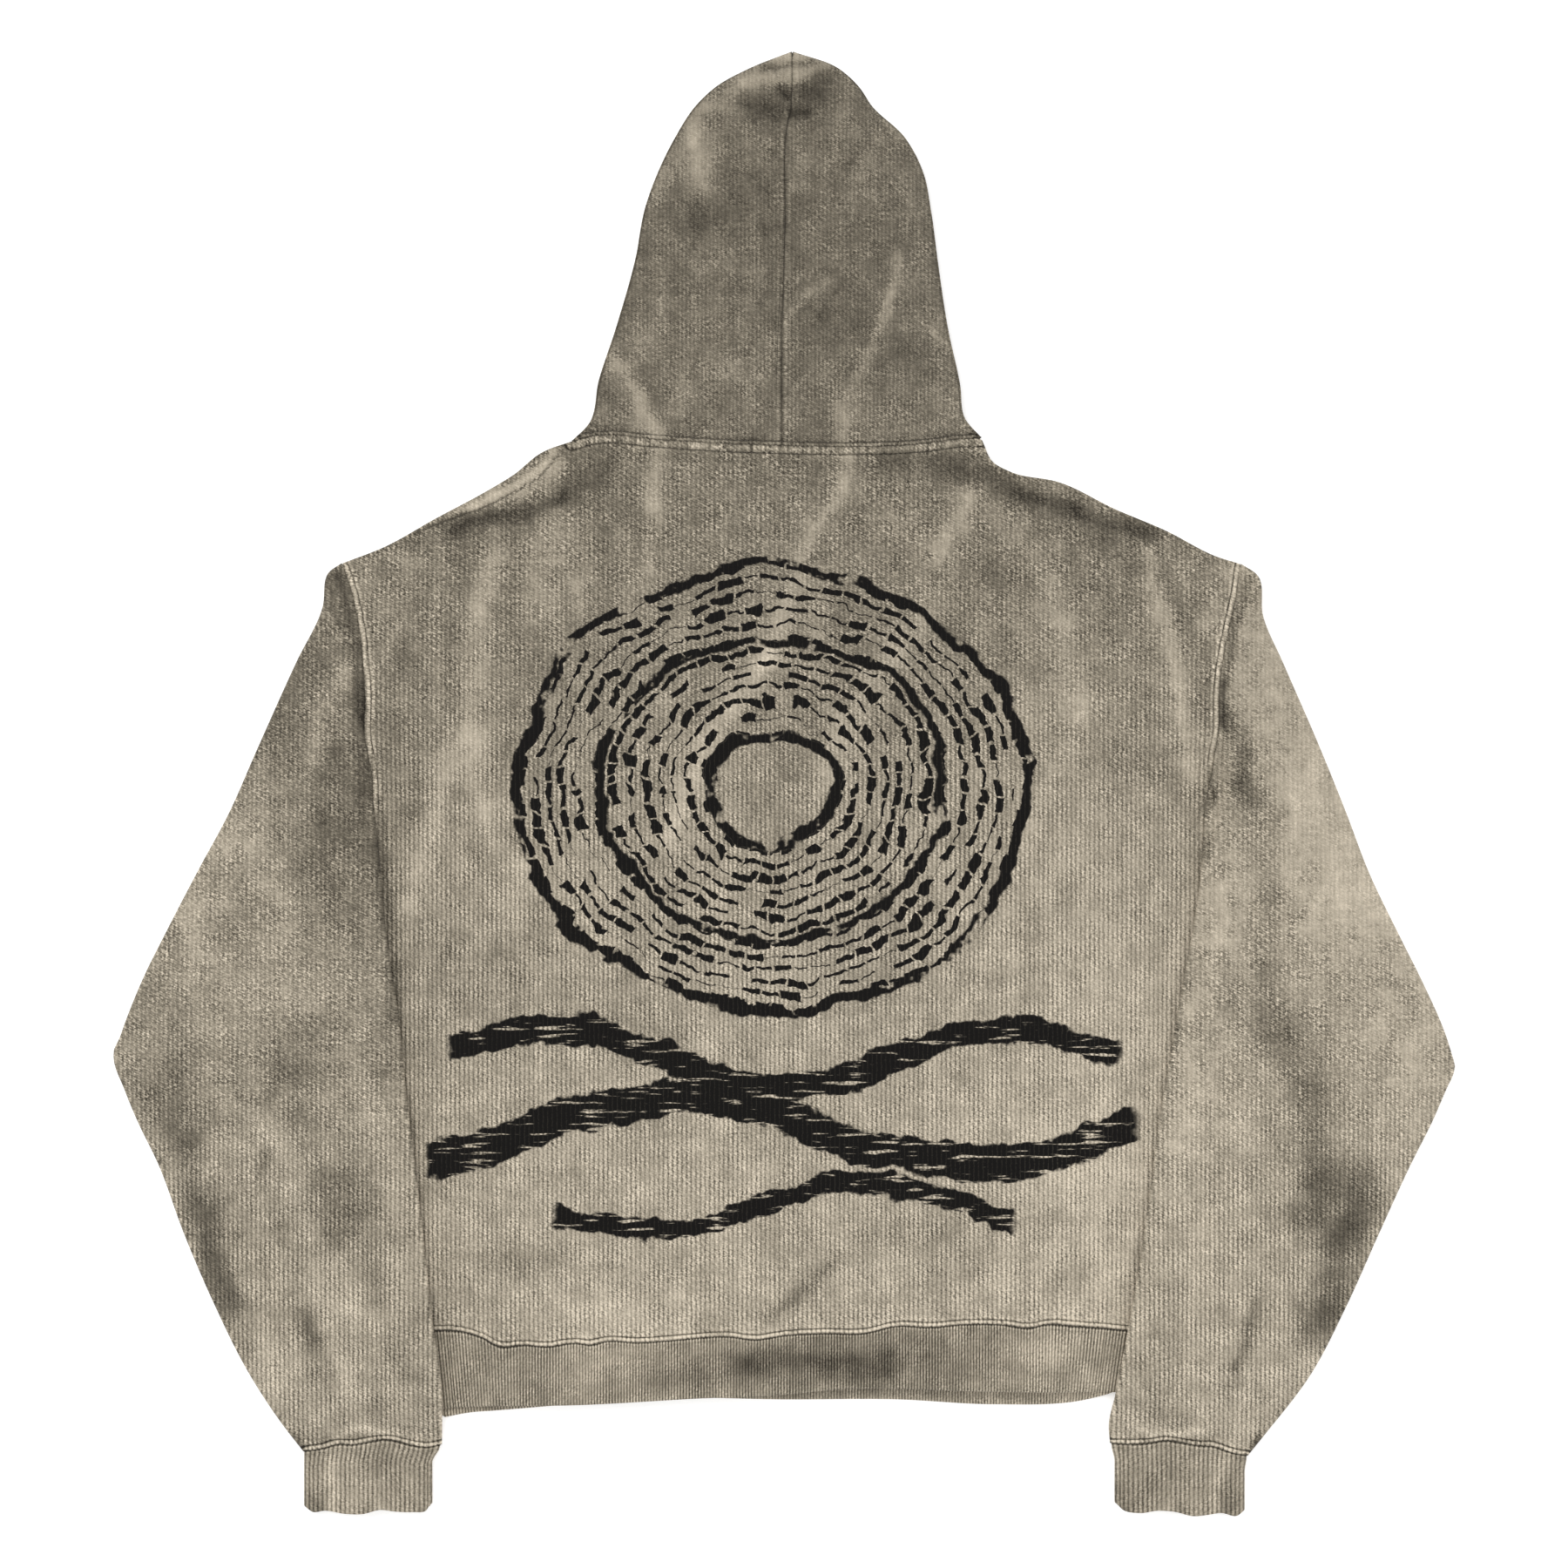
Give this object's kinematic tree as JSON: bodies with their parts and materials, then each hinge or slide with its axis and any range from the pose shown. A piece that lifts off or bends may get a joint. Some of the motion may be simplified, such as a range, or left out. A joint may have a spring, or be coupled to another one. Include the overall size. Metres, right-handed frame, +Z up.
{
  "type": "hooded sweatshirt",
  "caption": "Pullover hooded sweatshirt lying flat, back up: boxy body, bent sleeves, ribbed cuffs and hem, hood spread above, pouch pocket underneath",
  "frame": {"origin": "on the surface it lies on, under the middle of its outline", "axes": "+Y from the hem to the hood, +X to the right as seen from above, +Z up from the surface, out of the back"},
  "size_m": [0.9556, 1.0422, 0.0284],
  "materials": {
    "body_knit": "heavy cotton knit, acid washed olive grey, vertical loops, matt",
    "hood_knit": "the same knit in two layers, washed darker",
    "rib_knit": "cotton rib knit, washed, matt"
  },
  "bodies": {
    "root": {"back_panel": "body_knit", "front_panel": "body_knit", "pocket": "body_knit", "sleeve_left_back": "body_knit", "sleeve_left_front": "body_knit", "sleeve_right_back": "body_knit", "sleeve_right_front": "body_knit", "cuff_left": "rib_knit", "cuff_right": "rib_knit", "hem_band": "rib_knit", "hood_left": "hood_knit", "hood_right": "hood_knit"}
  },
  "joints": []
}
